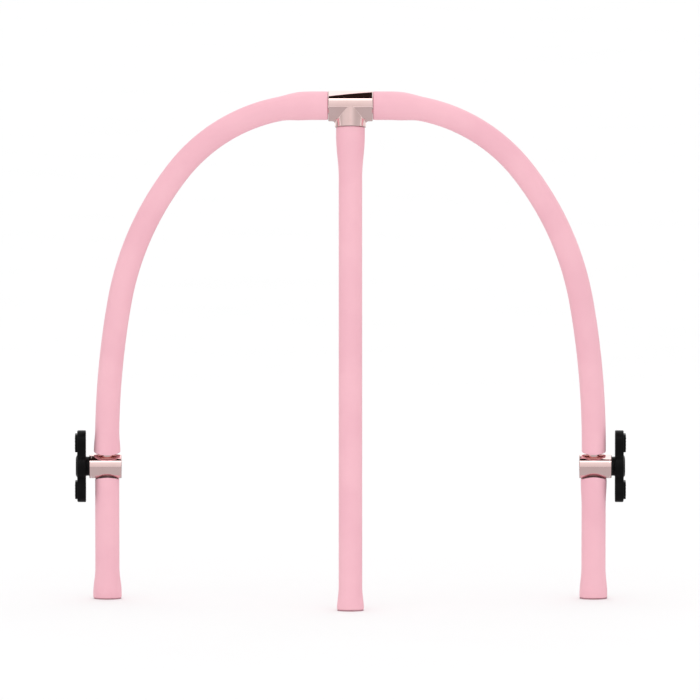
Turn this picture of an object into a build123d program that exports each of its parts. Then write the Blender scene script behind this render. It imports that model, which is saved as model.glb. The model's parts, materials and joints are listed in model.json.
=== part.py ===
"""Arched grip frame on three feet: two arch legs, a prop leg hung from the crown
tee, and lower legs that fold at a clamp barrel with a hand knob on each side.

Millimetres. +X runs across the arch, +Z is up, and -Y is the side the prop leans to.
The origin is on the floor, at the centre of the footprint.
"""
import os
from math import asin, cos, degrees, radians, sin, tan

from build123d import *

# Steel tube and the soft sleeve over it
tube_od = 25.4
tube_wall = 1.5
sleeve_od = 32.0
prop_sleeve_od = 31.1
bell_od = 37.8
collar_od = 31.4

# Arch centreline, from the crown outwards: a straight, then three tangent arcs to vertical
crown_straight = 50.0
arch_arcs = [(225.0, 52.0), (400.0, 80.0), (1120.0, 90.0)]

# Lengths along the arch legs, from the crown axis
hinge_drop = 484.7
arch_leg_length = 663.5

# Lean of the arch (backwards) and of the prop (forwards), from upright
arch_lean = 6.0
prop_lean = 10.0

# Crown tee and the axle it swings on
tee_od = 41.6
tee_length = 58.8
branch_od = 41.2
crotch_fillet = 3.5
branch_drop = 29.1
tee_bore = 30.0
axle_dia = tube_od - 2 * tube_wall
pin_dia = 5.0
bush_length = 16.0
running_gap = 0.05
side_gap = 0.3
tee_edge = 0.8
stop_screw_dia = 6.0
screw_socket = 3.4
socket_depth = 2.5
groove_depth = 3.0
groove_side_play = 0.3
groove_end_play = 1.0
prop_fold = arch_lean + prop_lean
crown_bell_end = 64.0
crown_bell_taper_end = 96.0
collar_length = 34.0
crown_collar_length = 20.0

# Clamp barrel, measured outwards from the centreline of the leg tube
barrel_od = 32.0
barrel_bore = 26.0
barrel_inner_face = -19.2
barrel_outer_face = 23.5
rim_width = 2.6
rim_gap = 0.3
barrel_floor = 7.0
disc_thickness = 1.5
bolt_dia = 8.0
bolt_head_dia = 13.0
bolt_head_height = 4.8
bolt_socket = 6.8
barrel_edge = 0.6
window_play = 0.4
window_angle_play = 0.8
tongue_width = 20.0
tongue_thickness = 8.0
leg_fold = 85.0
arch_sleeve_gap = 18.9
stub_dia = 16.0
shoulder_height = 20.0
arch_tube_gap = 21.5
stub_plug_length = 24.0
stub_plug_clearance = 0.3
leg_plug_length = 42.0
leg_sleeve_taper = 36.0
leg_plug_gap = 0.6
saddle_radius = 26.0
saddle_gap = 0.4
saddle_lift = 7.0

# Hand knob
washer_thickness = 1.6
neck_dia = 25.4
neck_length = 3.0
knob_length = 96.6
knob_thickness = 11.9
knob_hub_dia = 38.0
lobe_width = 30.0
lobe_waist = 23.0
knob_edge = 1.2
pad_height = 2.9
pad_inner = 19.6
pad_outer = 43.6
pad_width = 21.0
pad_corner = 6.0
pad_edge = 0.9
insert_od = 12.0
dish_dia = 19.0
dish_depth = 1.0
bolt_end_reveal = 1.4

# Feet
foot_collar_length = 30.0
foot_wall = 0.7
foot_od = 37.8
foot_flare = 38.0
prop_foot_od = 35.7
prop_foot_flare = 30.0
sole_reveal = 1.3
sole_thickness = 8.0
floor_block = 400.0

# Loose sleeve ends: one arch sleeve at its lower end, one leg sleeve at its top
loose_end = 1.7
loose_length = 30.0
loose_lip = 0.35
loose_top = 1.2

crown_height = arch_leg_length * cos(radians(arch_lean))
prop_length = crown_height / cos(radians(prop_lean))
tube_radius = tube_od / 2
bore_radius = tube_radius - tube_wall
sleeve_radius = sleeve_od / 2
bell_radius = bell_od / 2
barrel_radius = barrel_od / 2

parts = {}


def ring(outer, inner, bottom, top):
    """Upright tube between two heights."""
    body = Pos(0, 0, (bottom + top) / 2) * Cylinder(outer, top - bottom)
    return body - Pos(0, 0, (bottom + top) / 2) * Cylinder(inner, top - bottom + 2)


def turned(points):
    """Solid of revolution about Z from (radius, height) corners."""
    outline = Polyline([(radius, 0, height) for radius, height in points], close=True)
    return revolve(make_face(outline), Axis.Z)


def across(solid, start):
    """Lay a solid standing on its base along +X, with its base at start."""
    return Pos(start, 0, 0) * Rot(0, 90, 0) * solid


def upright(radius, height):
    return Pos(0, 0, height / 2) * Cylinder(radius, height)


def rim(solid, end):
    """Largest circular edge at the low (0) or high (-1) end of a solid about Z."""
    return solid.edges().filter_by(GeomType.CIRCLE).group_by(Axis.Z)[end].sort_by(SortBy.RADIUS)[-1]


# Arch centreline in the XZ plane, with the crown axis as Z = 0
def arch_stations():
    """Start point and heading of each stretch of the right half of the arch."""
    stations = [(0.0, 0.0, 0.0), (crown_straight, 0.0, 0.0)]
    x, z, turn = crown_straight, 0.0, 0.0
    for arc_radius, end_turn in arch_arcs:
        x += arc_radius * (sin(radians(end_turn)) - sin(radians(turn)))
        z -= arc_radius * (cos(radians(turn)) - cos(radians(end_turn)))
        turn = end_turn
        stations.append((x, z, turn))
    return stations


stations = arch_stations()
leg_x = stations[-1][0]


def arch_path(first, last_height):
    """Centreline wire from X = first on the crown straight down to a height."""
    edges = [Line((first, 0, 0), (crown_straight, 0, 0))]
    for (x, z, turn), (end_x, end_z, end_turn) in zip(stations[1:], stations[2:]):
        tangent = (cos(radians(turn)), 0, -sin(radians(turn)))
        edges.append(TangentArc((x, 0, z), (end_x, 0, end_z), tangent=tangent))
    edges.append(Line((leg_x, 0, stations[-1][1]), (leg_x, 0, last_height)))
    return Wire(edges)


def arch_rod(radius, first, last_height):
    path = arch_path(first, last_height)
    section = Plane((first, 0, 0), x_dir=(0, 1, 0), z_dir=(1, 0, 0)) * Circle(radius)
    return sweep(section, path=path)


def arch_point(distance):
    """Point and heading on the first arc, by length along the centreline from the crown."""
    turn = max(0.0, distance - crown_straight) / arch_arcs[0][0]
    x = min(distance, crown_straight) + arch_arcs[0][0] * sin(turn)
    return (x, 0, -arch_arcs[0][0] * (1 - cos(turn))), (cos(turn), 0, -sin(turn))


def crown_bell():
    """Wider end of the sleeve beside the tee, where it rides over the collar."""
    face = tee_length / 2 + side_gap
    bell = across(upright(bell_radius, crown_straight - face), face)
    sections = []
    bell_sizes = [(crown_straight, bell_radius), (crown_bell_end, bell_radius)]
    bell_sizes += [(crown_bell_taper_end, sleeve_radius)]
    for distance, radius in bell_sizes:
        origin, heading = arch_point(distance)
        sections.append(Plane(origin, x_dir=(0, 1, 0), z_dir=heading) * Circle(radius))
    return bell + loft(sections, ruled=True)


def arch_sleeve(flare):
    """Sleeve from the tee to just above the barrel, its lower end stretched by flare."""
    face = tee_length / 2 + side_gap
    low_end = -(hinge_drop - arch_sleeve_gap)
    outer = arch_rod(sleeve_radius, face, low_end) + crown_bell()
    if flare > 0:
        skirt = [(0, 0), (sleeve_radius + flare, 0), (sleeve_radius + flare, 4)]
        skirt += [(sleeve_radius + loose_lip, loose_length), (0, loose_length)]
        outer += Pos(leg_x, 0, low_end) * turned(skirt)
    collar = across(upright(collar_od / 2, crown_collar_length), face)
    return outer - arch_rod(tube_radius, face - 1, low_end - 1) - collar


def pin_hole(side):
    """Cross hole through collar, tube and axle on one side of the tee."""
    offset = side * (tee_length / 2 + side_gap + crown_collar_length / 2)
    return Pos(offset, 0, 0) * Rot(90, 0, 0) * Cylinder(pin_dia / 2, collar_od + 2)


def crown_pin(side):
    offset = side * (tee_length / 2 + side_gap + crown_collar_length / 2)
    return Pos(offset, 0, 0) * Rot(90, 0, 0) * Cylinder(pin_dia / 2 - 0.02, collar_od - 0.6)


def arch_tube():
    face = tee_length / 2 + side_gap
    low_end = -(hinge_drop - arch_tube_gap)
    tube = arch_rod(tube_radius, face, low_end) - arch_rod(bore_radius, face, low_end)
    return tube - pin_hole(1)


def crown_collar():
    face = tee_length / 2 + side_gap
    collar = ring(collar_od / 2, tube_radius, 0, crown_collar_length)
    return across(collar, face) - pin_hole(1)


def crown_axle():
    half_length = crown_straight - 0.5
    axle = across(upright(axle_dia / 2, 2 * half_length), -half_length)
    for side in (-1, 1):
        axle -= pin_hole(side)
    # Part-turn groove at the back: its two ends are the stops of the prop's swing
    screw_radius = stop_screw_dia / 2
    tip_angle = degrees(asin(screw_radius / (axle_dia / 2 - groove_depth))) + groove_end_play
    half_width = screw_radius + groove_side_play
    groove = ring(axle_dia / 2 + 1, axle_dia / 2 - groove_depth, -half_width, half_width)
    groove = Rot(0, 90, 0) * groove
    return axle - (groove & crown_sector(-prop_fold - tip_angle, tip_angle))


def crown_sector(start, end):
    """Block about the crown axis between two angles, from +Y towards +Z."""
    reach = 40.0
    corners = [(0, 0)]
    for angle in (start, end):
        corners.append((reach * cos(radians(angle)), reach * sin(radians(angle))))
    return extrude(Plane.YZ * make_face(Polyline(corners, close=True)), 10, both=True)


def stop_screw():
    """Grub screw in the back of the tee: its tip rides in the axle's groove."""
    tip = axle_dia / 2 - groove_depth + 0.4
    length = tee_od / 2 - tip - 0.6
    screw = upright(stop_screw_dia / 2, length)
    socket = extrude(RegularPolygon(screw_socket / 2, 6), socket_depth + 1)
    socket = Pos(0, 0, length - socket_depth) * socket
    return Rot(-90, 0, 0) * Pos(0, 0, tip) * (screw - socket)


def crown_tee():
    run = across(upright(tee_od / 2, tee_length), -tee_length / 2)
    run = chamfer(run.edges().filter_by(GeomType.CIRCLE), tee_edge)
    branch = Pos(0, 0, -branch_drop) * upright(branch_od / 2, branch_drop)
    branch = chamfer(rim(branch, 0), tee_edge)
    crotch = (run + branch).edges().filter_by(lambda edge: edge.geom_type == GeomType.BSPLINE)
    body = fillet(crotch, crotch_fillet)
    spigot = Pos(0, 0, -branch_drop - collar_length) * upright(collar_od / 2, collar_length + 1)
    body += spigot
    body -= across(upright(tee_bore / 2, tee_length + 2), -tee_length / 2 - 1)
    body -= Pos(0, 0, -branch_drop - collar_length - 1) * upright(tube_radius, collar_length + 14)
    return body - Rot(-90, 0, 0) * upright(stop_screw_dia / 2, tee_od)


def tee_bushes():
    bushes = []
    for side in (-1, 1):
        bush = ring(tee_bore / 2, axle_dia / 2 + running_gap, 0, bush_length)
        start = tee_length / 2 - bush_length if side > 0 else -tee_length / 2
        bushes.append(across(bush, start))
    return Compound(bushes)


# Prop leg, hanging straight down from the crown axis
def foot_profile(low, length, sole_radius):
    """Corners of the rubber boot, from its sole at height low."""
    top = low + length
    outer = [(sole_radius, low), (sole_radius, low + 6), (collar_od / 2, low + 6.5)]
    outer += [(collar_od / 2, low + 12), (tube_radius + 0.6, top), (tube_radius, top)]
    return [(0, low)] + outer + [(tube_radius, low + sole_thickness), (0, low + sole_thickness)]


def leg_boot(length, lean, foot_radius):
    """Rubber boot on a leg of this length, with its sole cut flat to the floor."""
    slack = foot_radius * tan(radians(lean)) + 1
    sole_radius = foot_radius - foot_wall
    return turned(foot_profile(-length - slack, foot_collar_length + slack, sole_radius))


def straight_sleeve(top, length, radius, top_shape, foot_radius, flare):
    """Sleeve from a top height down to past the floor, flared at the foot."""
    low = -length - 8
    outer = [(tube_radius, low), (foot_radius, low), (foot_radius, -length + 3)]
    outer += [(radius, -length + flare)]
    return turned(outer + top_shape + [(tube_radius, top)])


def leg_tube(top, length):
    return ring(tube_radius, bore_radius, -length + sole_thickness, top)


# Clamp barrel, standing on +Z with Z = 0 at the leg's centreline, outwards upwards
barrel_end = barrel_outer_face - rim_width - rim_gap
floor_top = barrel_inner_face + barrel_floor
drum_low = floor_top + disc_thickness + running_gap
spigot_low = barrel_end - 2.0
drum_high = spigot_low - disc_thickness - running_gap


def sector_block(start, end, half_width):
    """Block about Z between two angles from straight down, turning backwards."""
    reach = 40.0
    middle = (start + end) / 2
    corners = [(0, 0)]
    for angle in (start, middle, end):
        corners.append((reach * cos(radians(angle)), reach * sin(radians(angle))))
    return Pos(0, 0, -half_width) * extrude(make_face(Polyline(corners, close=True)), 2 * half_width)


def clamp_shell():
    shell = ring(barrel_radius, barrel_bore / 2, floor_top, barrel_end)
    shell += ring(barrel_radius, bolt_dia / 2 + running_gap, barrel_inner_face, floor_top)
    shell = chamfer(rim(shell, 0), barrel_edge)
    head_pocket = Pos(0, 0, barrel_inner_face) * upright(bolt_head_dia / 2 + 0.3, bolt_head_height)
    tongue_angle = degrees(asin(tongue_thickness / 2 / (barrel_bore / 2)))
    tongue_angle += window_angle_play
    window = sector_block(-tongue_angle, leg_fold + tongue_angle, tongue_width / 2 + window_play)
    window -= Cylinder(barrel_bore / 2 - 1, 60)
    return shell - head_pocket - window + barrel_stub()


def barrel_stub():
    """Stub on top of the barrel (-X is up), with a shoulder and a plug into the arch tube."""
    root = barrel_radius - 2
    stub = Pos(0, 0, root) * upright(stub_dia / 2, shoulder_height - root)
    shoulder = upright(tube_radius - running_gap, arch_tube_gap - shoulder_height)
    stub += Pos(0, 0, shoulder_height) * shoulder
    plug = upright(bore_radius - stub_plug_clearance, stub_plug_length)
    plug = chamfer(rim(plug, -1), 1.0)
    return Rot(0, -90, 0) * (stub + Pos(0, 0, arch_tube_gap) * plug)


def clamp_rim():
    """Cap in the barrel's outer end: a rim, and a spigot that presses on the outer disc."""
    hole = bolt_dia / 2 + running_gap
    rim_low = barrel_outer_face - rim_width
    flange = ring(barrel_radius, hole, rim_low, barrel_outer_face)
    flange = chamfer(rim(flange, -1), barrel_edge)
    return flange + ring(barrel_bore / 2 - running_gap, hole, spigot_low, rim_low)


def friction_discs():
    """One disc on each side of the knuckle's drum."""
    discs = []
    for low in (floor_top, spigot_low - disc_thickness):
        outer = barrel_bore / 2 - running_gap
        discs.append(ring(outer, bolt_dia / 2 + running_gap, low, low + disc_thickness))
    return Compound(discs)


def clamp_bolt():
    head_low = barrel_inner_face + 0.2
    shank_top = barrel_outer_face + washer_thickness + neck_length + knob_thickness
    shank_top += bolt_end_reveal
    bolt = Pos(0, 0, head_low) * upright(bolt_head_dia / 2, bolt_head_height - 0.2)
    bolt += Pos(0, 0, head_low) * upright(bolt_dia / 2, shank_top - head_low)
    socket = Pos(0, 0, head_low) * extrude(RegularPolygon(bolt_socket / 2, 6), socket_depth)
    return bolt - socket


def leg_knuckle():
    """Drum in the barrel, with a tongue and plug down into the leg tube (+X is down)."""
    drum = ring(barrel_bore / 2 - running_gap, bolt_dia / 2 + running_gap, drum_low, drum_high)
    plug_start = barrel_radius + leg_plug_gap
    tongue_start = barrel_bore / 2 - 3
    tongue_length = plug_start + 2 - tongue_start
    tongue = Box(tongue_length, tongue_thickness, tongue_width)
    plug = across(upright(bore_radius, leg_plug_length), plug_start)
    return drum + Pos(tongue_start + tongue_length / 2, 0, 0) * tongue + plug


# Hand knob, standing on +Z with Z = 0 at the barrel's outer face
neck_low = washer_thickness + running_gap
slab_low = neck_low + neck_length
slab_high = slab_low + knob_thickness


def knob_outline():
    """Two round-ended lobes on a round hub."""
    lobe_centre = knob_length / 2 - lobe_width / 2
    lobes = Circle(knob_hub_dia / 2)
    for side in (-1, 1):
        lobes += Pos(0, side * lobe_centre) * Circle(lobe_width / 2)
        lobes += Pos(0, side * lobe_centre / 2) * Rectangle(lobe_waist, lobe_centre)
    return lobes


def hand_knob():
    slab = Pos(0, 0, slab_low) * extrude(knob_outline(), knob_thickness)
    slab = chamfer(slab.edges().group_by(Axis.Z)[-1], knob_edge)
    knob = slab + Pos(0, 0, neck_low) * upright(neck_dia / 2, neck_length + 1)
    pad_length = pad_outer - pad_inner
    for side in (-1, 1):
        pad = RectangleRounded(pad_width, pad_length, pad_corner)
        pad = extrude(Pos(0, side * (pad_inner + pad_outer) / 2, slab_high) * pad, pad_height)
        knob += chamfer(pad.edges().group_by(Axis.Z)[-1], pad_edge)
    knob -= Pos(0, 0, slab_high - dish_depth) * upright(dish_dia / 2, dish_depth + 1)
    knob -= Pos(0, 0, neck_low - 1) * upright(insert_od / 2, knob_thickness + 8)
    return knob


def knob_insert():
    return ring(insert_od / 2, bolt_dia / 2 + running_gap, neck_low + 0.4, slab_high - dish_depth)


def knob_washer():
    return ring(neck_dia / 2, bolt_dia / 2 + running_gap, running_gap, washer_thickness)


# Placing: the arch group leans back and the prop group leans forward from the crown
def in_arch(solid):
    return Pos(0, 0, crown_height) * Rot(arch_lean, 0, 0) * solid


def in_prop(solid):
    return Pos(0, 0, crown_height) * Rot(-prop_lean, 0, 0) * solid


def on_side(solid, side):
    """Right-hand solid, or its mirror image on the left."""
    return solid if side == "right" else mirror(solid, about=Plane.YZ)


def at_barrel(solid):
    """Barrel piece (Z outwards, X down) on the right-hand hinge axis."""
    return Pos(leg_x, 0, -hinge_drop) * Rot(0, 90, 0) * solid


def on_leg(solid):
    """Piece about the leg's own axis, with Z = 0 at the crown axis height."""
    return Pos(leg_x, 0, 0) * solid


def above_floor(solid, height):
    block = Pos(0, 0, height - floor_block / 2) * Box(1200, 1200, floor_block)
    return solid - block


for side in ("left", "right"):
    end_flare = loose_end if side == "left" else 0.0
    top_flare = loose_top if side == "right" else 0.0
    parts["arch_tube_" + side] = in_arch(on_side(arch_tube(), side))
    parts["arch_sleeve_" + side] = in_arch(on_side(arch_sleeve(end_flare), side))
    parts["crown_collar_" + side] = in_arch(on_side(crown_collar(), side))
    parts["barrel_shell_" + side] = in_arch(on_side(at_barrel(clamp_shell()), side))
    parts["barrel_rim_" + side] = in_arch(on_side(at_barrel(clamp_rim()), side))
    parts["friction_discs_" + side] = in_arch(on_side(at_barrel(friction_discs()), side))
    parts["clamp_bolt_" + side] = in_arch(on_side(at_barrel(clamp_bolt()), side))
    parts["leg_knuckle_" + side] = in_arch(on_side(at_barrel(leg_knuckle()), side))

    tube_top = -(hinge_drop + barrel_radius + leg_plug_gap)
    tube = on_leg(leg_tube(tube_top, arch_leg_length))
    parts["leg_tube_" + side] = in_arch(on_side(tube, side))
    sleeve_low = -(hinge_drop + barrel_radius + saddle_gap)
    sleeve_top = sleeve_low + saddle_lift
    top_radius = sleeve_radius + top_flare
    top_shape = [(sleeve_radius, sleeve_low - leg_sleeve_taper), (top_radius, sleeve_low - 4)]
    top_shape += [(top_radius, sleeve_top)]
    sleeve = on_leg(straight_sleeve(sleeve_top, arch_leg_length, sleeve_radius, top_shape,
                                    foot_od / 2, foot_flare))
    saddle = across(upright(saddle_radius, 60), -30)
    sleeve -= Pos(leg_x, 0, sleeve_low + saddle_radius) * saddle
    boot = on_leg(leg_boot(arch_leg_length, arch_lean, foot_od / 2))
    parts["leg_boot_" + side] = above_floor(in_arch(on_side(boot, side)), 0)
    sleeve = above_floor(in_arch(on_side(sleeve, side)), sole_reveal)
    parts["leg_sleeve_" + side] = sleeve - parts["leg_boot_" + side]

    outward = Pos(0, 0, barrel_outer_face)
    knob_turn = Rot(0, 0, 90)
    parts["knob_washer_" + side] = in_arch(on_side(at_barrel(outward * knob_washer()), side))
    parts["hand_knob_" + side] = in_arch(on_side(at_barrel(outward * knob_turn * hand_knob()), side))
    parts["knob_insert_" + side] = in_arch(on_side(at_barrel(outward * knob_insert()), side))

parts["crown_axle"] = in_arch(crown_axle())
parts["crown_pins"] = in_arch(Compound([crown_pin(side) for side in (-1, 1)]))

parts["crown_tee"] = in_prop(crown_tee())
parts["tee_bushes"] = in_prop(tee_bushes())
parts["stop_screw"] = in_prop(stop_screw())
prop_top = -axle_dia / 2 - 5.0
parts["prop_tube"] = in_prop(leg_tube(prop_top, prop_length))
prop_radius = prop_sleeve_od / 2
prop_sleeve_top = -branch_drop
prop_shape = [(prop_radius, prop_sleeve_top - 83), (17.0, prop_sleeve_top - 40)]
prop_shape += [(bell_radius, prop_sleeve_top - 16), (bell_radius, prop_sleeve_top)]
prop_sleeve = straight_sleeve(prop_sleeve_top, prop_length, prop_radius, prop_shape,
                              prop_foot_od / 2, prop_foot_flare)
prop_sleeve -= Pos(0, 0, -branch_drop - collar_length) * upright(collar_od / 2, collar_length + 1)
prop_boot = leg_boot(prop_length, prop_lean, prop_foot_od / 2)
parts["prop_boot"] = above_floor(in_prop(prop_boot), 0)
prop_sleeve = above_floor(in_prop(prop_sleeve), sole_reveal)
parts["prop_sleeve"] = prop_sleeve - parts["prop_boot"]

# The origin goes to the centre of the footprint
boxes = [solid.bounding_box() for solid in parts.values()]
footprint_shift = -(min(box.min.Y for box in boxes) + max(box.max.Y for box in boxes)) / 2
print("footprint shift", footprint_shift, "lowest", min(box.min.Z for box in boxes))

os.makedirs("parts", exist_ok=True)
for name, solid in parts.items():
    export_step(Pos(0, footprint_shift, 0) * solid, "parts/" + name + ".step")
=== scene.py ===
import json
import math

import bmesh
import bpy
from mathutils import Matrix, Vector


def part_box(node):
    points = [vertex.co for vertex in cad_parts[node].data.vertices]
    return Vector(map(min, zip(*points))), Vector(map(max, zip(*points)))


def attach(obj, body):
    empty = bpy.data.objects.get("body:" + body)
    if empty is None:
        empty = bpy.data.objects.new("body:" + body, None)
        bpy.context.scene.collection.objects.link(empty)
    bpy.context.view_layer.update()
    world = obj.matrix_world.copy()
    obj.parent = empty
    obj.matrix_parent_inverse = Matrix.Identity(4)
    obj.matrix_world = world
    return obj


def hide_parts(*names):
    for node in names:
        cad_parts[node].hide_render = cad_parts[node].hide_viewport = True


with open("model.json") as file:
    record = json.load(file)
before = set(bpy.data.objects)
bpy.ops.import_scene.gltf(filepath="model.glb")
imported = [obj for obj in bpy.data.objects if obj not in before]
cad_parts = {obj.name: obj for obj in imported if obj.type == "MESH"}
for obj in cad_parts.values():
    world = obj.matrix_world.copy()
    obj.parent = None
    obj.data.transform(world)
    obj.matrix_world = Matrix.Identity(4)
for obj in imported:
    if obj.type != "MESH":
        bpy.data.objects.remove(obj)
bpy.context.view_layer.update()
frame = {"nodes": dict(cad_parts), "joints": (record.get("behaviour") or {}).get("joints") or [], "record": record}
nodes = frame["nodes"]
joints = {joint["name"]: joint for joint in frame["joints"]}
mm = 0.001
sides = {"left": -1, "right": 1}

# Crown and hinges stand on their joints, and the arch leans from one to the other
crown = Vector(joints["prop_swing"]["pos_m"])
hinge = {side: Vector(joints[side + "_leg_fold"]["pos_m"]) for side in sides}
legX = hinge["right"].x
hingeArm = hinge["right"] - Vector((legX, crown.y, crown.z))
hingeDrop = hingeArm.length
archDown = hingeArm.normalized()
propLean = math.radians(10)  # towards the front
propDown = Vector((0, -math.sin(propLean), -math.cos(propLean)))
archDepth = Vector((0, -archDown.z, archDown.y))  # square to the arch's plane, towards the back
print("frame loaded")


# Shader maths: a socket that adds its own Math nodes
class Wire:
    def __init__(self, shop, socket):
        self.shop, self.socket = shop, socket

    def math(self, operation, *others):
        sockets = {0: self, **dict(enumerate(others, 1))}
        return self.shop.node("ShaderNodeMath", {"operation": operation}, sockets)

    def __add__(self, other):
        return self.math("ADD", other)

    def __sub__(self, other):
        return self.math("SUBTRACT", other)

    def __mul__(self, other):
        return self.math("MULTIPLY", other)

    def __pow__(self, other):
        return self.math("POWER", other)

    def __rsub__(self, other):
        return self.shop.node("ShaderNodeMath", {"operation": "SUBTRACT"}, {0: other, 1: self})

    __radd__ = __add__
    __rmul__ = __mul__


class Shop:
    def __init__(self, tree):
        self.tree = tree
        tree.nodes.clear()

    def node(self, kind, settings=None, sockets=None, out=0):
        made = self.tree.nodes.new(kind)
        for name, value in (settings or {}).items():
            if name == "stops":
                self.stops(made.color_ramp, value)
            else:
                setattr(made, name, value)
        for name, value in (sockets or {}).items():
            if isinstance(value, Wire):
                self.tree.links.new(value.socket, made.inputs[name])
            else:
                made.inputs[name].default_value = value
        return Wire(self, made.outputs[out]) if made.outputs else made

    def stops(self, ramp, stops):
        while len(ramp.elements) < len(stops):
            ramp.elements.new(0.5)
        for element, (place, colour) in zip(ramp.elements, stops):
            element.position = place
            element.color = (*colour, 1) if len(colour) == 3 else colour

    def noise(self, place, scale, detail=2.0, roughness=0.5):
        return self.node("ShaderNodeTexNoise", {}, {"Vector": place, "Scale": scale, "Detail": detail,
                                                    "Roughness": roughness})

    def mixColour(self, factor, first, second, blend="MIX"):
        return self.node("ShaderNodeMix", {"data_type": "RGBA", "blend_type": blend},
                         {0: factor, 6: first, 7: second}, out=2)

    def smooth(self, value, low, high, toLow=0.0, toHigh=1.0):
        return self.node("ShaderNodeMapRange", {"interpolation_type": "SMOOTHSTEP"},
                         {0: value, 1: low, 2: high, 3: toLow, 4: toHigh})

    def bump(self, height, distance, strength=1.0, under=None):
        sockets = {"Height": height, "Distance": distance, "Strength": strength}
        if under:
            sockets["Normal"] = under
        return self.node("ShaderNodeBump", {}, sockets)


def finish(name, build, **constants):
    material = bpy.data.materials.new(name)
    material.use_nodes = True
    shop = Shop(material.node_tree)
    place = shop.node("ShaderNodeTexCoord", out=3)
    sockets = {**constants, **build(shop, place)}
    shader = shop.node("ShaderNodeBsdfPrincipled", {}, sockets)
    shop.node("ShaderNodeOutputMaterial", {}, {"Surface": shader})
    return material


def rgba(r, g, b):
    return (r, g, b, 1.0)


# Pink sleeve: dense foam under a smooth soft-touch skin, with a faint stipple
sleeveFinish = dict(body=rgba(0.89, 0.487, 0.558), deep=rgba(0.855, 0.452, 0.528), stipple=1900,
                    stippleHeight=0.035 * mm, wave=38, waveHeight=0.10 * mm)


def sleeveSkin(shop, place):
    f = sleeveFinish
    cloud = shop.noise(place, 14, 3)
    fine = shop.noise(place, f["stipple"], 2, 0.6)
    pores = shop.node("ShaderNodeTexVoronoi", {"feature": "F1"}, {"Vector": place, "Scale": 1300})
    wave = shop.noise(place, f["wave"], 1)
    colour = shop.mixColour(shop.smooth(cloud, 0.35, 0.7), f["body"], f["deep"])
    colour = shop.mixColour(shop.smooth(fine, 0.45, 0.8, 0.0, 0.25), colour, f["deep"])
    rough = 0.46 + 0.10 * fine + 0.05 * cloud
    normal = shop.bump(wave, f["waveHeight"])
    normal = shop.bump(fine + 0.6 * pores, f["stippleHeight"], 0.9, normal)
    return {"Base Color": colour, "Roughness": rough, "Normal": normal}


# Rose-gold plate: mirror polish with hairline buffing and a little waviness
def roseSkin(shop, place):
    stretched = shop.node("ShaderNodeMapping", {}, {"Vector": place, "Scale": (60, 900, 900)})
    hair = shop.noise(stretched, 1.0, 2, 0.7)
    cloud = shop.noise(place, 55, 2)
    colour = shop.mixColour(shop.smooth(cloud, 0.3, 0.75), rgba(0.90, 0.672, 0.652), rgba(0.875, 0.64, 0.615))
    rough = 0.035 + 0.05 * shop.smooth(hair, 0.5, 0.85) + 0.03 * shop.smooth(cloud, 0.5, 0.8)
    normal = shop.bump(cloud, 0.03 * mm, 0.5)
    return {"Base Color": colour, "Roughness": rough, "Normal": normal}


# Zinc-plated drawn steel
def zincSkin(shop, place):
    spangle = shop.node("ShaderNodeTexVoronoi", {"feature": "F1"}, {"Vector": place, "Scale": 420})
    drawn = shop.node("ShaderNodeMapping", {}, {"Vector": place, "Scale": (1400, 1400, 60)})
    lines = shop.noise(drawn, 1.0, 2, 0.6)
    colour = shop.mixColour(shop.smooth(spangle, 0.1, 0.7), rgba(0.64, 0.64, 0.65), rgba(0.54, 0.55, 0.57))
    rough = 0.28 + 0.16 * lines
    return {"Base Color": colour, "Roughness": rough, "Normal": shop.bump(lines, 0.02 * mm, 0.6)}


# Black oxide on the bolts and the grub screw
def oxideSkin(shop, place):
    grime = shop.noise(place, 300, 3)
    colour = shop.mixColour(shop.smooth(grime, 0.4, 0.75), rgba(0.035, 0.035, 0.038), rgba(0.11, 0.10, 0.10))
    return {"Base Color": colour, "Roughness": 0.32 + 0.2 * grime, "Normal": shop.bump(grime, 0.03 * mm, 0.5)}


# Moulded black plastic of the knobs, with a spark-eroded grain
def knobSkin(shop, place):
    grain = shop.noise(place, 1500, 3, 0.6)
    cells = shop.node("ShaderNodeTexVoronoi", {"feature": "F1"}, {"Vector": place, "Scale": 900})
    scuff = shop.smooth(shop.noise(place, 70, 4, 0.65), 0.52, 0.78)
    colour = shop.mixColour(0.35 * scuff, rgba(0.0035, 0.0035, 0.0037), rgba(0.010, 0.010, 0.0105))
    rough = 0.27 + 0.12 * grain + 0.10 * scuff
    return {"Base Color": colour, "Roughness": rough,
            "Normal": shop.bump(grain + 0.5 * cells, 0.04 * mm, 0.7)}


# Boot rubber: dull, with dust in its texture
def bootSkin(shop, place):
    dust = shop.smooth(shop.noise(place, 160, 4, 0.7), 0.45, 0.8)
    grain = shop.noise(place, 1100, 2)
    colour = shop.mixColour(0.5 * dust, rgba(0.40, 0.20, 0.235), rgba(0.50, 0.32, 0.34))
    normal = shop.bump(grain, 0.06 * mm, 0.8)
    return {"Base Color": colour, "Roughness": 0.72 + 0.12 * grain, "Normal": normal}


# Acetal of bushes and discs
def acetalSkin(shop, place):
    turned = shop.noise(place, 700, 2)
    colour = shop.mixColour(shop.smooth(turned, 0.4, 0.7), rgba(0.80, 0.79, 0.75), rgba(0.74, 0.73, 0.68))
    normal = shop.bump(turned, 0.02 * mm, 0.5)
    return {"Base Color": colour, "Roughness": 0.45 + 0.12 * turned, "Normal": normal}


# Dull black washer under the knob
def washerSkin(shop, place):
    grain = shop.noise(place, 900, 3)
    worn = shop.smooth(grain, 0.4, 0.8)
    colour = shop.mixColour(worn, rgba(0.005, 0.005, 0.005), rgba(0.014, 0.013, 0.013))
    return {"Base Color": colour, "Roughness": 0.5 + 0.15 * grain, "Normal": shop.bump(grain, 0.03 * mm, 0.6)}


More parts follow.
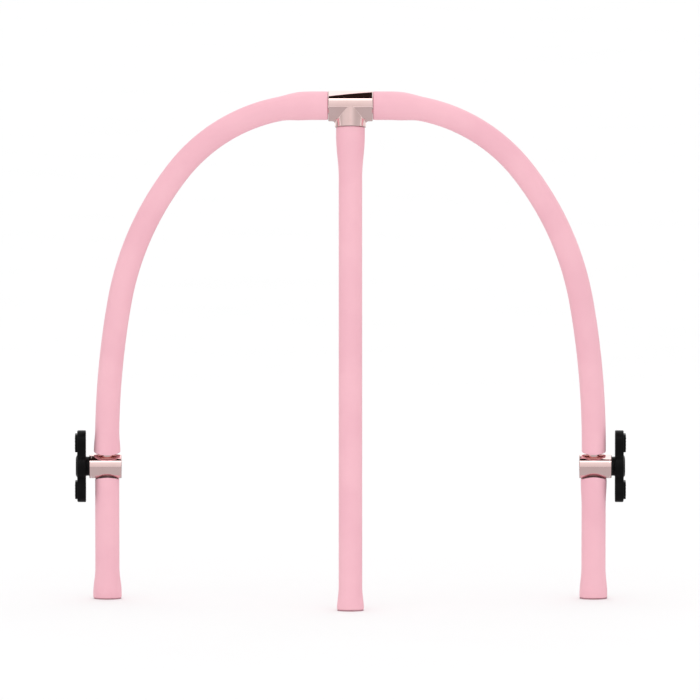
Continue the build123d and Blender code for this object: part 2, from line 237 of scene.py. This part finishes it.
def brassSkin(shop, place):
    turned = shop.noise(place, 800, 2)
    colour = shop.mixColour(shop.smooth(turned, 0.35, 0.75), rgba(0.78, 0.58, 0.27), rgba(0.62, 0.43, 0.17))
    normal = shop.bump(turned, 0.02 * mm, 0.5)
    return {"Base Color": colour, "Roughness": 0.22 + 0.15 * turned, "Normal": normal}


finishes = {
    "pink_sleeve": finish("pinkSleeve", sleeveSkin, IOR=1.46),
    "rose_metal": finish("roseGoldPlate", roseSkin, Metallic=1.0),
    "steel": finish("zincSteel", zincSkin, Metallic=1.0),
    "dark_steel": finish("blackOxide", oxideSkin, Metallic=1.0),
    "black_plastic": finish("knobPlastic", knobSkin, IOR=1.17),
    "boot_rubber": finish("bootRubber", bootSkin, IOR=1.5),
    "bearing_plastic": finish("acetal", acetalSkin, IOR=1.48),
    "washer_plastic": finish("washerPlastic", washerSkin, IOR=1.3),
    "insert_brass": finish("turnedBrass", brassSkin, Metallic=1.0),
}
slotOf = {part["node"]: part["material_slot"] for part in frame["record"]["subparts"]}
bodyOf = {node: body for body, members in frame["record"]["behaviour"]["bodies"].items() for node in members}
print("finishes made")


def addPiece(name, mesh, node):
    piece = bpy.data.objects.new(name, mesh)
    bpy.context.scene.collection.objects.link(piece)
    mesh.materials.clear()
    mesh.materials.append(finishes[slotOf[node]])
    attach(piece, bodyOf[node])
    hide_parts(node)
    return piece


def smoothByAngle(mesh, angle):
    mesh.shade_smooth()
    mesh.set_sharp_from_angle(angle=math.radians(angle))


def machined(node, angle=32):
    mesh = nodes[node].data.copy()
    work = bmesh.new()
    work.from_mesh(mesh)
    bmesh.ops.remove_doubles(work, verts=work.verts, dist=0.002 * mm)
    work.to_mesh(mesh)
    work.free()
    mesh.name = node + "Mesh"
    for name in ("custom_normal", "sharp_edge", "sharp_face"):
        if name in mesh.attributes:
            mesh.attributes.remove(mesh.attributes[name])
    smoothByAngle(mesh, angle)
    return addPiece(node + "_made", mesh, node)


# Sweep tree: a curve's own radii give the outside, and a plain bore goes through it
def sweepTree():
    tree = bpy.data.node_groups.new("sleeveSweep", "GeometryNodeTree")
    for name, kind, way in (("Geometry", "NodeSocketGeometry", "INPUT"), ("Bore", "NodeSocketFloat", "INPUT"),
                            ("Around", "NodeSocketInt", "INPUT"), ("Skin", "NodeSocketMaterial", "INPUT"),
                            ("Geometry", "NodeSocketGeometry", "OUTPUT")):
        tree.interface.new_socket(name=name, in_out=way, socket_type=kind)
    new, link = tree.nodes.new, tree.links.new
    source = new("NodeGroupInput")
    end = new("NodeGroupOutput")
    outside, inside = new("GeometryNodeCurveToMesh"), new("GeometryNodeCurveToMesh")
    circle = new("GeometryNodeCurvePrimitiveCircle")
    circle.inputs["Radius"].default_value = 1.0
    bore = new("GeometryNodeSetCurveRadius")
    flip = new("GeometryNodeFlipFaces")
    join = new("GeometryNodeJoinGeometry")
    merge = new("GeometryNodeMergeByDistance")
    merge.inputs["Distance"].default_value = 0.004 * mm
    soft = new("GeometryNodeSetShadeSmooth")
    real = new("GeometryNodeRealizeInstances")
    skin = new("GeometryNodeSetMaterial")
    link(source.outputs["Around"], circle.inputs["Resolution"])
    link(source.outputs["Geometry"], outside.inputs["Curve"])
    link(source.outputs["Geometry"], bore.inputs["Curve"])
    link(source.outputs["Bore"], bore.inputs["Radius"])
    link(bore.outputs["Curve"], inside.inputs["Curve"])
    size = new("GeometryNodeInputRadius")
    for sweep in (outside, inside):
        link(circle.outputs["Curve"], sweep.inputs["Profile Curve"])
        link(size.outputs["Radius"], sweep.inputs["Scale"])
    link(inside.outputs["Mesh"], flip.inputs["Mesh"])
    link(flip.outputs["Mesh"], join.inputs["Geometry"])
    link(outside.outputs["Mesh"], join.inputs["Geometry"])
    link(join.outputs["Geometry"], merge.inputs["Geometry"])
    link(merge.outputs["Geometry"], soft.inputs["Geometry"])
    link(soft.outputs["Geometry"], real.inputs["Geometry"])
    link(real.outputs["Geometry"], skin.inputs["Geometry"])
    link(source.outputs["Skin"], skin.inputs["Material"])
    link(skin.outputs["Geometry"], end.inputs["Geometry"])
    return tree


sleeveSweep = sweepTree()


def runTree(owner, tree, values):
    modifier = owner.modifiers.new(tree.name, "NODES")
    modifier.node_group = tree
    for item in tree.interface.items_tree:
        if item.in_out == "INPUT" and item.name in values:
            modifier[item.identifier] = values[item.name]
    bpy.context.view_layer.update()
    deps = bpy.context.evaluated_depsgraph_get()
    mesh = bpy.data.meshes.new_from_object(owner.evaluated_get(deps))
    owner.modifiers.remove(modifier)
    data = owner.data
    bpy.data.objects.remove(owner)
    bpy.data.curves.remove(data)
    return mesh


def sweptSleeve(name, stations, bore, around=72):
    curve = bpy.data.curves.new(name + "Path", "CURVE")
    curve.dimensions = "3D"
    spline = curve.splines.new("POLY")
    spline.points.add(len(stations) - 1)
    for point, (place, radius) in zip(spline.points, stations):
        point.co = (*place, 1)
        point.radius = radius
    owner = bpy.data.objects.new(name + "Path", curve)
    bpy.context.scene.collection.objects.link(owner)
    return runTree(owner, sleeveSweep, {"Bore": bore, "Around": around, "Skin": finishes["pink_sleeve"]})


# Arch centreline: a straight beside the tee, then three tangent arcs down to upright
archLine = dict(straight=50.0 * mm, arcs=[(225.0 * mm, 52.0), (400.0 * mm, 80.0), (1120.0 * mm, 90.0)])


def archPoint(distance):
    x, down, turn, left = min(distance, archLine["straight"]), 0.0, 0.0, distance - archLine["straight"]
    for radius, endTurn in archLine["arcs"]:
        if left <= 0:
            break
        end = min(math.radians(endTurn), turn + left / radius)
        x += radius * (math.sin(end) - math.sin(turn))
        down += radius * (math.cos(turn) - math.cos(end))
        left -= radius * (math.radians(endTurn) - turn)
        turn = end
    return x, down + max(0.0, left)


def archLengthTo(drop):
    arcs, turn, down = archLine["straight"], 0.0, 0.0
    for radius, endTurn in archLine["arcs"]:
        arcs += radius * (math.radians(endTurn) - turn)
        down += radius * (math.cos(turn) - math.cos(math.radians(endTurn)))
        turn = math.radians(endTurn)
    return arcs + drop - down


def ease(value, low, high):
    t = min(1.0, max(0.0, (value - low) / (high - low)))
    return t * t * (3 - 2 * t)


def spacedAlong(length, fine, coarse, endZone):
    marks, at = [0.0], 0.0
    while at < length - fine * 0.5:
        near = min(at, length - at)
        at += fine + (coarse - fine) * ease(near, 0, endZone)
        marks.append(min(at, length))
    return marks


# Sleeves: rounded lips, a bell beside the tee, and a flare where they ride over a boot
sleeveSizes = dict(radius=16.0 * mm, bore=12.72 * mm, lip=1.6 * mm, bell=18.9 * mm, bellLength=34 * mm,
                   bellTaper=32 * mm, looseEnd=1.7 * mm, looseLength=30 * mm, teeGap=0.3 * mm,
                   barrelGap=18.9 * mm, droop=85 * mm, endReach=14 * mm)
legSizes = dict(start=16.4 * mm, saddle=32 * mm, looseTop=1.2 * mm, looseFrom=4 * mm, looseTo=38 * mm,
                foot={"left": 18.9 * mm, "right": 18.4 * mm}, footFlare=40 * mm, footEnd=6 * mm)
propSizes = dict(start=29.1 * mm, radius=15.5 * mm, bell=3.5 * mm, bellFrom=12 * mm, bellTo=66 * mm,
                 foot=2.3 * mm, footFlare=30 * mm)


def lipDrop(fromEnd, lip):  # how far a rounded end has drawn in
    if fromEnd >= lip:
        return 0.0
    return lip - math.sqrt(max(0.0, lip * lip - (lip - fromEnd) ** 2))


def sleeveStations(length, radiusAt, pointAt, bore):
    lip = sleeveSizes["lip"]
    lipMarks = [lip * (1 - math.cos(math.radians(a))) for a in (0, 15, 30, 45, 60, 75, 90)]
    middle = [m for m in spacedAlong(length, 1.5 * mm, 5 * mm, 60 * mm) if lip * 1.4 < m < length - lip * 1.4]
    marks = lipMarks + middle + [length - m for m in reversed(lipMarks)]
    hair = 0.01 * mm
    stations = [(pointAt(-hair), bore)]
    for mark in marks:
        radius = radiusAt(mark) - lipDrop(mark, lip) - lipDrop(length - mark, lip)
        stations.append((pointAt(mark), radius))
    stations.append((pointAt(length + hair), bore))
    return stations


def shapeEnds(mesh, sideX, down, top, saddle, floorHeight):  # hollow the top end, level the foot
    reach = sleeveSizes["endReach"]
    depth = down.cross(Vector((1, 0, 0))).normalized()
    for vertex in mesh.vertices:
        arm = vertex.co - Vector((sideX, crown.y, crown.z))
        along = arm.dot(down)
        if saddle and along < top + reach:
            lift = saddle - math.sqrt(saddle * saddle - arm.dot(depth) ** 2)
            vertex.co -= down * lift * (1 - ease(along, top, top + reach))
        toFloor = (vertex.co.z - floorHeight) / -down.z
        if toFloor < reach:
            tilt = arm.dot(depth) * depth.z / -down.z
            vertex.co += down * tilt * (1 - ease(toFloor, 0, reach))


def straightPoint(sideX, down, start):
    origin = Vector((sideX, crown.y, crown.z))
    return lambda mark: origin + down * (start + mark)


def legLength(down, reveal):
    return (crown.z - reveal) / -down.z


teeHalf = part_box("crown_tee")[1].x
bootReveal = 1.3 * mm


def archSleeve(side):
    sign, sizes = sides[side], sleeveSizes
    atLeg = Vector((sign * legX, crown.y, crown.z))
    start = teeHalf + sizes["teeGap"]
    lowEnd = hingeDrop - sizes["barrelGap"]
    length = archLengthTo(lowEnd) - start
    loose = sizes["looseEnd"] if side == "left" else 0.0

    def radiusAt(mark):
        bell = 1 - ease(mark, sizes["bellLength"], sizes["bellLength"] + sizes["bellTaper"])
        flare = loose * ease(mark, length - sizes["looseLength"], length)
        return sizes["radius"] + (sizes["bell"] - sizes["radius"]) * bell + flare

    def pointAt(mark):
        x, down = archPoint(start + mark)
        return Vector((sign * x, crown.y, crown.z)) + archDown * down

    mesh = sweptSleeve("archSleeve", sleeveStations(length, radiusAt, pointAt, sizes["bore"]), sizes["bore"])
    for vertex in mesh.vertices:  # the end hangs a little over the barrel, in front and behind
        arm = vertex.co - atLeg
        hang = sizes["droop"] - math.sqrt(sizes["droop"] ** 2 - arm.dot(archDepth) ** 2)
        vertex.co += archDown * hang * ease(arm.dot(archDown), lowEnd - sizes["endReach"], lowEnd)
    return addPiece("arch_grip_" + side, mesh, "arch_sleeve_" + side)


def legSleeve(side):
    sideX, sizes = sides[side] * legX, legSizes
    body, bore = sleeveSizes["radius"], sleeveSizes["bore"]
    start = hingeDrop + sizes["start"]
    length = legLength(archDown, bootReveal) - start
    topFlare = sizes["looseTop"] if side == "right" else 0.0
    footFlare = sizes["foot"][side] - body

    def radiusAt(mark):
        top = topFlare * (1 - ease(mark, sizes["looseFrom"], sizes["looseTo"]))
        return body + top + footFlare * ease(mark, length - sizes["footFlare"], length - sizes["footEnd"])

    pointAt = straightPoint(sideX, archDown, start)
    mesh = sweptSleeve("legSleeve", sleeveStations(length, radiusAt, pointAt, bore), bore)
    shapeEnds(mesh, sideX, archDown, start, sizes["saddle"], bootReveal)
    return addPiece("leg_grip_" + side, mesh, "leg_sleeve_" + side)


def propSleeve():
    sizes, bore = propSizes, sleeveSizes["bore"]
    start = sizes["start"]
    length = legLength(propDown, bootReveal) - start

    def radiusAt(mark):
        top = sizes["bell"] * (1 - ease(mark, sizes["bellFrom"], sizes["bellTo"]))
        return sizes["radius"] + top + sizes["foot"] * ease(mark, length - sizes["footFlare"], length)

    pointAt = straightPoint(0.0, propDown, start)
    mesh = sweptSleeve("propSleeve", sleeveStations(length, radiusAt, pointAt, bore), bore)
    shapeEnds(mesh, 0.0, propDown, start, None, bootReveal)
    return addPiece("prop_grip", mesh, "prop_sleeve")


for side in sides:
    for piece in (archSleeve(side), legSleeve(side)):
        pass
propSleeve()
print("sleeves swept")


# Machined and plated pieces keep their own shape, with clean shading
machinedNodes = ["crown_tee", "crown_axle", "crown_pins", "tee_bushes", "stop_screw", "prop_tube",
                 "prop_boot"]
for side in sides:
    for kind in ("arch_tube", "crown_collar", "barrel_shell", "barrel_rim", "friction_discs", "clamp_bolt",
                 "leg_knuckle", "leg_tube", "leg_boot", "knob_washer", "knob_insert"):
        machinedNodes.append(kind + "_" + side)
for node in machinedNodes:
    machined(node)
print("metal pieces cleaned")


# Hand knob: a two-lobed bar with a raised, dished hub and a ribbed pad on each lobe
knob = dict(face=23.5 * mm, neckLow=1.65 * mm, neckLength=3.0 * mm, thick=11.5 * mm, neck=12.7 * mm,
            bore=6.0 * mm, hub=19.0 * mm, lobe=15.0 * mm, lobeAt=33.3 * mm, waist=11.6 * mm, points=176,
            lowRound=1.2 * mm, topRound=1.6 * mm, seam=0.14 * mm, dish=8.6 * mm, dishDepth=1.0 * mm,
            hubRise=1.9 * mm, hubFoot=16.0 * mm, hubTop=11.2 * mm)
pad = dict(middle=31.6 * mm, halfLong=12.0 * mm, halfWide=10.5 * mm, corner=5.5 * mm, high=2.9 * mm,
           round=0.9 * mm, draft=0.12 * mm, ribs=(-6.6, -2.2, 2.2, 6.6), ribWide=0.75 * mm,
           ribLong=6.4 * mm, ribHigh=0.25 * mm)


def knobReach(angle):  # distance from the axis to the outline, measured from the long axis
    c, s = abs(math.cos(angle)), abs(math.sin(angle))
    reach = knob["hub"]
    inside = knob["lobe"] ** 2 - (knob["lobeAt"] * s) ** 2
    if inside >= 0:
        reach = max(reach, knob["lobeAt"] * c + math.sqrt(inside))
    return max(reach, min(knob["waist"] / max(s, 1e-6), knob["lobeAt"] * 0.75 / max(c, 1e-6)))


def knobOutline():
    count, spread = 1440, 14  # steps round the outline, and how many of them blur its corners
    raw = [knobReach(2 * math.pi * i / count) for i in range(count)]
    weights = [math.exp(-0.5 * (k / (spread / 2.2)) ** 2) for k in range(-spread, spread + 1)]
    total = sum(weights)
    soft = [sum(w * raw[(i + k) % count] for k, w in zip(range(-spread, spread + 1), weights)) / total
            for i in range(count)]
    dense = [(r * math.cos(2 * math.pi * i / count), r * math.sin(2 * math.pi * i / count))
             for i, r in enumerate(soft)]
    return evenly(dense, knob["points"])


def evenly(corners, count):  # the same closed outline with evenly spaced points
    lengths = [math.dist(a, b) for a, b in zip(corners, corners[1:] + corners[:1])]
    step, points, walked, at = sum(lengths) / count, [], 0.0, 0
    for i in range(count):
        while walked + lengths[at] < i * step:
            walked += lengths[at]
            at += 1
        t = (i * step - walked) / lengths[at]
        a, b = corners[at], corners[(at + 1) % len(corners)]
        points.append((a[0] + (b[0] - a[0]) * t, a[1] + (b[1] - a[1]) * t))
    return points


def inset(points, amount):
    moved = []
    for i, point in enumerate(points):
        before, after = points[i - 1], points[(i + 1) % len(points)]
        run, rise = after[0] - before[0], after[1] - before[1]
        size = math.hypot(run, rise)
        moved.append((point[0] - rise / size * amount, point[1] + run / size * amount))
    return moved


def circleLike(points, radius):  # a circle whose points sit at the outline's own angles
    return [(radius * x / math.hypot(x, y), radius * y / math.hypot(x, y)) for x, y in points]


def between(first, second, share):
    return [(a[0] + (b[0] - a[0]) * share, a[1] + (b[1] - a[1]) * share) for a, b in zip(first, second)]


def roundedBar(halfLong, halfWide, corner, around=12):
    points = []
    for quarter, (sx, sy) in enumerate(((1, 1), (-1, 1), (-1, -1), (1, -1))):
        for i in range(around + 1):
            turn = math.radians(90 * (quarter + i / around))
            points.append((sx * (halfLong - corner) + corner * math.cos(turn),
                           sy * (halfWide - corner) + corner * math.sin(turn)))
    return points


def loft(work, loops, closed, place):
    rings = [[work.verts.new(place(x, y, z)) for x, y in points] for points, z in loops]
    pairs = list(zip(rings, rings[1:]))
    if closed:
        pairs.append((rings[-1], rings[0]))
    else:
        work.faces.new(rings[0])
        work.faces.new(rings[-1])
    for low, high in pairs:
        for i in range(len(low)):
            j = (i + 1) % len(low)
            work.faces.new((low[i], low[j], high[j], high[i]))


def quarterRound(points, edge, radius, upward, start=0.0):  # loops that round an edge over
    loops = []
    for step in range(6):
        turn = math.radians(18 * step)
        amount = radius * (1 - math.cos(turn)) if upward else radius * (1 - math.sin(turn))
        rise = radius * math.sin(turn) if upward else -radius * math.cos(turn)
        loops.append((inset(points, start + amount), edge + rise))
    return loops


def knobLoops(outline, low, high):  # from the bore's low end, round the outside and back down the bore
    middle = (low + high) / 2
    neckLow, neck, bore, dish = knob["neckLow"], knob["neck"], knob["bore"], knob["dish"]
    hubFoot, top, floor = knob["hubFoot"], high + knob["hubRise"], high - knob["dishDepth"]
    face = inset(outline, knob["topRound"] + 0.7 * mm)
    circle = lambda radius: circleLike(outline, radius)
    loops = [(circle(bore), neckLow + 0.3 * mm), (circle(bore + 0.3 * mm), neckLow)]
    loops += [(circle(neck - 0.5 * mm), neckLow), (circle(neck - 0.15 * mm), neckLow + 0.15 * mm)]
    loops += [(circle(neck), neckLow + 0.5 * mm), (circle(neck), low - 0.9 * mm)]
    loops += [(circle(neck + 0.3 * mm), low - 0.3 * mm), (circle(neck + 0.9 * mm), low)]
    loops += [(inset(outline, knob["lowRound"] + 0.9 * mm), low)]
    loops += quarterRound(outline, low + knob["lowRound"], knob["lowRound"], False)
    loops += [(outline, middle - 0.3 * mm), (inset(outline, -knob["seam"]), middle)]  # parting line
    loops += [(outline, middle + rise * mm) for rise in (0.3, 1.2, 2.2, 3.2)]
    loops += quarterRound(outline, high - knob["topRound"], knob["topRound"], True)
    loops += [(between(face, circle(hubFoot), share), high) for share in (0, 0.35, 0.7, 0.92)]
    for step in range(9):
        radius = hubFoot + (knob["hubTop"] - hubFoot) * step / 8
        loops += [(circle(radius), high + knob["hubRise"] * ease(step, 0, 8))]
    loops += [(circle(dish + 0.7 * mm), top), (circle(dish + 0.25 * mm), top - 0.12 * mm)]
    loops += [(circle(dish), top - 0.5 * mm), (circle(dish - 0.3 * mm), floor + 0.3 * mm)]
    loops += [(circle(dish - 0.7 * mm), floor), (circle(bore + 0.4 * mm), floor)]
    loops += [(circle(bore), floor - 0.3 * mm)]
    return loops


def padLoops(rise):
    shape, draft = roundedBar(pad["halfLong"], pad["halfWide"], pad["corner"]), pad["draft"]
    base = rise - pad["high"]
    loops = [(shape, base - 0.8 * mm), (inset(shape, draft), base + 1.2 * mm)]
    loops += quarterRound(shape, rise - pad["round"], pad["round"], True, draft)
    return loops + [(inset(shape, pad["round"] + 1.0 * mm), rise)]


def ribLoops(rise):
    rib = roundedBar(pad["ribWide"], pad["ribLong"], pad["ribWide"] * 0.98, 6)
    low, high = rise + pad["ribHigh"] * 0.8, rise + pad["ribHigh"]
    return [(rib, rise - 0.3 * mm), (rib, rise + 0.08 * mm), (inset(rib, 0.18 * mm), low),
            (inset(rib, 0.42 * mm), high)]


def handKnob(side):
    low = knob["neckLow"] + knob["neckLength"]
    high = low + knob["thick"]
    rise = high + pad["high"]

    def placed(shift):  # x runs down the arch's leg, y to the back, z out along the bolt
        def place(x, y, z):
            out = Vector((sides[side], 0, 0)) * (knob["face"] + z)
            return hinge[side] + out + archDown * (x + shift) + archDepth * y
        return place

    work = bmesh.new()
    loft(work, knobLoops(knobOutline(), low, high), True, placed(0.0))
    for end in (-1, 1):
        loft(work, padLoops(rise), False, placed(end * pad["middle"]))
        for along in pad["ribs"]:
            loft(work, ribLoops(rise), False, placed(end * pad["middle"] + along * mm))
    bmesh.ops.recalc_face_normals(work, faces=work.faces)
    mesh = bpy.data.meshes.new("handKnob")
    work.to_mesh(mesh)
    work.free()
    smoothByAngle(mesh, 38)
    return addPiece("wing_knob_" + side, mesh, "hand_knob_" + side)


for side in sides:
    handKnob(side)
print("knobs moulded")


# Studio: pale floor, an all-round soft sky, cards seen in the polish, and the camera
studio = dict(lens=800.0, distance=20.57, elevation=3.99, aimX=-0.0006, aimZ=0.3376)
floorEdges = dict(left=-80, right=80, front=-80, back=80, height=0)
lowCardEdges = dict(left=-5, right=5, front=-9, back=4, height=0.004)
crownCard = dict(half=30 * mm, height=0.25, near=-0.62, farLeft=-0.27, farRight=0.53)
barrelCard = dict(half=21 * mm, height=0.22, near=-0.62, farLeft=0.45, farRight=-0.45)


def plainSkin(first, second):
    def build(shop, place):
        return {"Base Color": shop.mixColour(shop.noise(place, 3, 2), first, second)}
    return build


def flatCorners(left, right, front, back, height):
    return [(left, front, height), (right, front, height), (right, back, height), (left, back, height)]


def makeQuad(name, corners, skin):
    mesh = bpy.data.meshes.new(name + "Mesh")
    mesh.from_pydata(corners, [], [(0, 1, 2, 3)])
    quad = bpy.data.objects.new(name, mesh)
    bpy.context.scene.collection.objects.link(quad)
    mesh.materials.append(skin)
    return quad


def reflectionCard(name, corners, glow):  # seen in polished metal only
    skin = bpy.data.materials.new(name + "Glow")
    skin.use_nodes = True
    shop = Shop(skin.node_tree)
    light = shop.node("ShaderNodeEmission", {}, {"Color": rgba(*glow), "Strength": 1.0})
    shop.node("ShaderNodeOutputMaterial", {}, {"Surface": light})
    card = makeQuad(name, corners, skin)
    card.visible_camera = card.visible_diffuse = card.visible_shadow = False
    card.visible_transmission = card.visible_volume_scatter = False
    return card


# Dark cards hang over the tee and the barrels: each depth is a share of the height above the axis
def slantedCard(name, axis, half, height, near, farLeft, farRight):
    reach = half * 1.5  # runs past both ends of the metal
    slope = (farRight - farLeft) / (2 * half)
    farAt = lambda x: max(near, (farLeft + farRight) / 2 + slope * x)
    edge = ((-reach, near), (reach, near), (reach, farAt(reach)), (-reach, farAt(-reach)))
    corners = [(axis[0] + x, axis[1] + share * height, axis[2] + height) for x, share in edge]
    return reflectionCard(name, corners, (0.022, 0.012, 0.010))


# Sky seen in the polish, by height above the front horizon in half turns
brightSky, darkSky = (2.6, 2.6, 2.6), (0.03, 0.018, 0.015)
skyStops = [(0.0, (0.80, 0.79, 0.79)), (0.13, (0.93, 0.92, 0.92)), (0.245, (1.05, 1.05, 1.05)),
            (0.255, brightSky), (0.312, brightSky), (0.320, darkSky), (0.395, darkSky),
            (0.41, (1.4, 1.4, 1.4)), (1.0, (1.3, 1.3, 1.3))]


def makeWorld():
    world = bpy.data.worlds.new("studio")
    bpy.context.scene.world = world
    world.use_nodes = True
    shop = Shop(world.node_tree)
    across = shop.node("ShaderNodeSeparateXYZ", {}, {0: shop.node("ShaderNodeTexCoord", out=0)})
    parts = across.socket.node.outputs
    x, y, z = (Wire(shop, part) for part in parts)
    raised = shop.node("ShaderNodeMath", {"operation": "ARCTAN2"}, {0: z, 1: 0.0 - y}) * (1 / math.pi)
    sky = shop.node("ShaderNodeValToRGB", {"stops": skyStops}, {0: raised})
    aside = shop.node("ShaderNodeMath", {"operation": "ABSOLUTE"}, {0: x})
    leftBand = shop.smooth(x, -0.98, -0.75) * (1.0 - shop.smooth(x, -0.6, -0.12))
    leftBack = (1.0 - shop.smooth(x, -0.5, -0.2)) * shop.smooth(y, -0.15, 0.35)
    shade = 1.0 - 0.32 * shop.smooth(aside, 0.02, 0.7) + 0.22 * leftBand - 0.40 * leftBack
    glossy = shop.node("ShaderNodeLightPath", out=3)
    grey = shop.node("ShaderNodeCombineColor", {}, {0: shade, 1: shade, 2: shade})
    mirrored = shop.mixColour(1.0, sky, grey, "MULTIPLY")
    even = 1.24 + 0.10 * z - 0.62 * aside ** 2.0  # dimmer at the sides, which rounds the sleeves
    level = shop.node("ShaderNodeCombineColor", {}, {0: even, 1: even, 2: even})
    colour = shop.mixColour(glossy, level, mirrored)
    background = shop.node("ShaderNodeBackground", {}, {"Color": colour, "Strength": 1.0})
    shop.node("ShaderNodeOutputWorld", {}, {"Surface": background})


paleSkin = plainSkin(rgba(0.86, 0.86, 0.86), rgba(0.88, 0.88, 0.88))
makeQuad("floor", flatCorners(**floorEdges), finish("paleFloor", paleSkin, Roughness=0.9))
reflectionCard("lowCard", flatCorners(**lowCardEdges), (0.57, 0.56, 0.57))
slantedCard("crownCard", crown, **crownCard)
for side in sides:
    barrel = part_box("barrel_shell_" + side)
    middle = Vector(((barrel[0].x + barrel[1].x) / 2, hinge[side].y, hinge[side].z))
    slantedCard("barrelCard" + side.title(), middle, **barrelCard)
makeWorld()

camData = bpy.data.cameras.new("camera")
camData.lens = studio["lens"]
camData.sensor_width = 36
camData.clip_end = 400
cam = bpy.data.objects.new("camera", camData)
bpy.context.scene.collection.objects.link(cam)
aim = Vector((studio["aimX"], 0, studio["aimZ"]))
tilt = math.radians(studio["elevation"])
cam.location = aim + Vector((0, -math.cos(tilt), math.sin(tilt))) * studio["distance"]
cam.rotation_euler = (aim - cam.location).to_track_quat("-Z", "Y").to_euler()
bpy.context.scene.camera = cam
bpy.context.scene.view_settings.view_transform = "Standard"
print("studio set")
